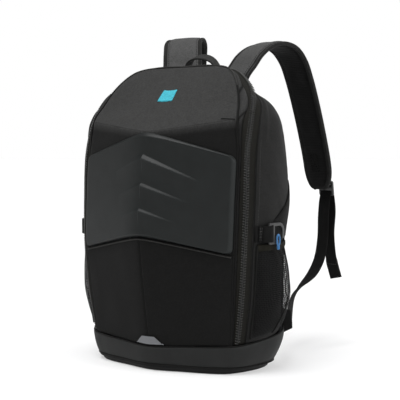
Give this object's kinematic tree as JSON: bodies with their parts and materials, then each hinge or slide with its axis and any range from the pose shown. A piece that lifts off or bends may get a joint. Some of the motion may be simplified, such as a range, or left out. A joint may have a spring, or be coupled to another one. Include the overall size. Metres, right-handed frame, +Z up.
{
  "type": "drone carrying backpack",
  "caption": "Backpack carrying case for a camera drone with a moulded front shell lid, a coated base, side pockets with hooks, a haul handle and padded shoulder straps.",
  "frame": {"origin": "centre of the flat underside of the base, on the plane of symmetry of the body", "axes": "+Z up, +Y towards the wearer's back, +X to the right of someone who looks from the front along +Y"},
  "size_m": [0.3782, 0.4271, 0.5357],
  "materials": {
    "charcoal_fabric": "woven polyester, charcoal",
    "black_fabric": "woven polyester, black",
    "moulded_eva": "satin moulded EVA foam shell with a smooth skin",
    "coated_fabric": "coated fabric, matt",
    "reflective": "reflective tape, grey",
    "zip_tape": "laminated zip tape",
    "zip_coil": "nylon coil",
    "webbing": "ribbed nylon webbing",
    "mesh": "knitted mesh",
    "acetal": "moulded acetal, satin",
    "zinc": "gunmetal coated zinc",
    "blue_pull": "blue cord",
    "lining": "brushed lining on foam"
  },
  "bodies": {
    "bag": {"base_tray": "coated_fabric", "base_board": "lining", "side_panel_right": "black_fabric", "side_panel_left": "black_fabric", "top_panel": "charcoal_fabric", "back_panel": "black_fabric", "back_pad_right": "mesh", "back_pad_left": "mesh", "lumbar_pad": "mesh", "strap_yoke": "black_fabric", "zip_coil_body": "zip_coil", "zip_tape_body": "zip_tape", "laptop_sleeve_panel": "lining", "padded_divider_lower": "lining", "padded_divider_upper": "lining", "mesh_pocket_right": "mesh", "mesh_pocket_left": "mesh", "pocket_hem_right": "webbing", "pocket_hem_left": "webbing", "compression_strap_right": "webbing", "compression_strap_left": "webbing", "side_wing_right": "black_fabric", "side_wing_left": "black_fabric", "strap_anchor_right": "webbing", "strap_anchor_left": "webbing"},
    "lid": {"lower_front_panel_right": "black_fabric", "lower_front_panel_left": "black_fabric", "lid_mid_panel": "black_fabric", "eva_shell": "moulded_eva", "lid_foam_panel": "lining", "lid_upper_panel": "charcoal_fabric", "lid_gusset": "charcoal_fabric", "reflective_tab": "reflective", "zip_coil_lid": "zip_coil", "zip_tape_lid": "zip_tape"},
    "slider_right": {"zip_slider_right": "zinc"},
    "pull_right": {"zip_pull_right": "zinc"},
    "hook_right": {"side_hook_right": "acetal"},
    "loop_right": {"pull_loop_right": "blue_pull"},
    "strap_right": {"shoulder_strap_right": "mesh", "strap_webbing_right": "webbing", "ladder_lock_right": "acetal", "lower_webbing_right": "webbing"},
    "tail_right": {"strap_tail_right": "webbing"},
    "slider_left": {"zip_slider_left": "zinc"},
    "pull_left": {"zip_pull_left": "zinc"},
    "hook_left": {"side_hook_left": "acetal"},
    "loop_left": {"pull_loop_left": "blue_pull"},
    "strap_left": {"shoulder_strap_left": "mesh", "strap_webbing_left": "webbing", "ladder_lock_left": "acetal", "lower_webbing_left": "webbing"},
    "tail_left": {"strap_tail_left": "webbing"},
    "handle": {"haul_handle": "webbing"}
  },
  "joints": [
    {"name": "lid_open", "type": "hinge", "parent": "bag", "child": "lid", "pos_m": [0, -0.066, 0.0395], "axis": [1, 0, 0], "range_deg": [0, 90]},
    {"name": "handle_lean", "type": "hinge", "parent": "bag", "child": "handle", "pos_m": [0, 0.091, 0.447], "axis": [1, 0, 0], "range_deg": [-20, 3]},
    {"name": "zip_slide_right", "type": "slide", "parent": "lid", "child": "slider_right", "axis": [1, 0, 0], "range_m": [0, 0.036]},
    {"name": "pull_swing_right", "type": "hinge", "parent": "slider_right", "child": "pull_right", "pos_m": [0.009, 0.04986, 0.46946], "axis": [1, 0, 0], "range_deg": [0, 150]},
    {"name": "hook_swing_right", "type": "hinge", "parent": "bag", "child": "hook_right", "pos_m": [0.17413, 0.00171, 0.21311], "axis": [0, 0, -1], "range_deg": [0, 100]},
    {"name": "loop_swing_right", "type": "hinge", "parent": "hook_right", "child": "loop_right", "pos_m": [0.17905, 0.0189, 0.2097], "axis": [-0.0757, -0.9971, 0], "range_deg": [0, 90]},
    {"name": "strap_swing_right", "type": "hinge", "parent": "bag", "child": "strap_right", "pos_m": [0.154, 0.104, 0.069], "axis": [-0.276, 0.006, 0.9611], "range_deg": [-30, 20]},
    {"name": "tail_swing_right", "type": "hinge", "parent": "strap_right", "child": "tail_right", "pos_m": [0.1147, 0.3269, 0.262], "axis": [0.957, -0.29, 0], "range_deg": [-2, 25]},
    {"name": "zip_slide_left", "type": "slide", "parent": "lid", "child": "slider_left", "axis": [-1, 0, 0], "range_m": [0, 0.036]},
    {"name": "pull_swing_left", "type": "hinge", "parent": "slider_left", "child": "pull_left", "pos_m": [-0.009, 0.04986, 0.46946], "axis": [1, 0, 0], "range_deg": [0, 150]},
    {"name": "hook_swing_left", "type": "hinge", "parent": "bag", "child": "hook_left", "pos_m": [-0.17413, 0.00171, 0.21311], "axis": [0, 0, 1], "range_deg": [0, 100]},
    {"name": "loop_swing_left", "type": "hinge", "parent": "hook_left", "child": "loop_left", "pos_m": [-0.17905, 0.0189, 0.2097], "axis": [-0.0757, 0.9971, 0], "range_deg": [0, 90]},
    {"name": "strap_swing_left", "type": "hinge", "parent": "bag", "child": "strap_left", "pos_m": [-0.154, 0.104, 0.069], "axis": [0.2681, 0.002, 0.9634], "range_deg": [-36, 13]},
    {"name": "tail_swing_left", "type": "hinge", "parent": "strap_left", "child": "tail_left", "pos_m": [-0.1781, 0.2965, 0.262], "axis": [0.8345, 0.551, 0], "range_deg": [-2, 25]}
  ]
}
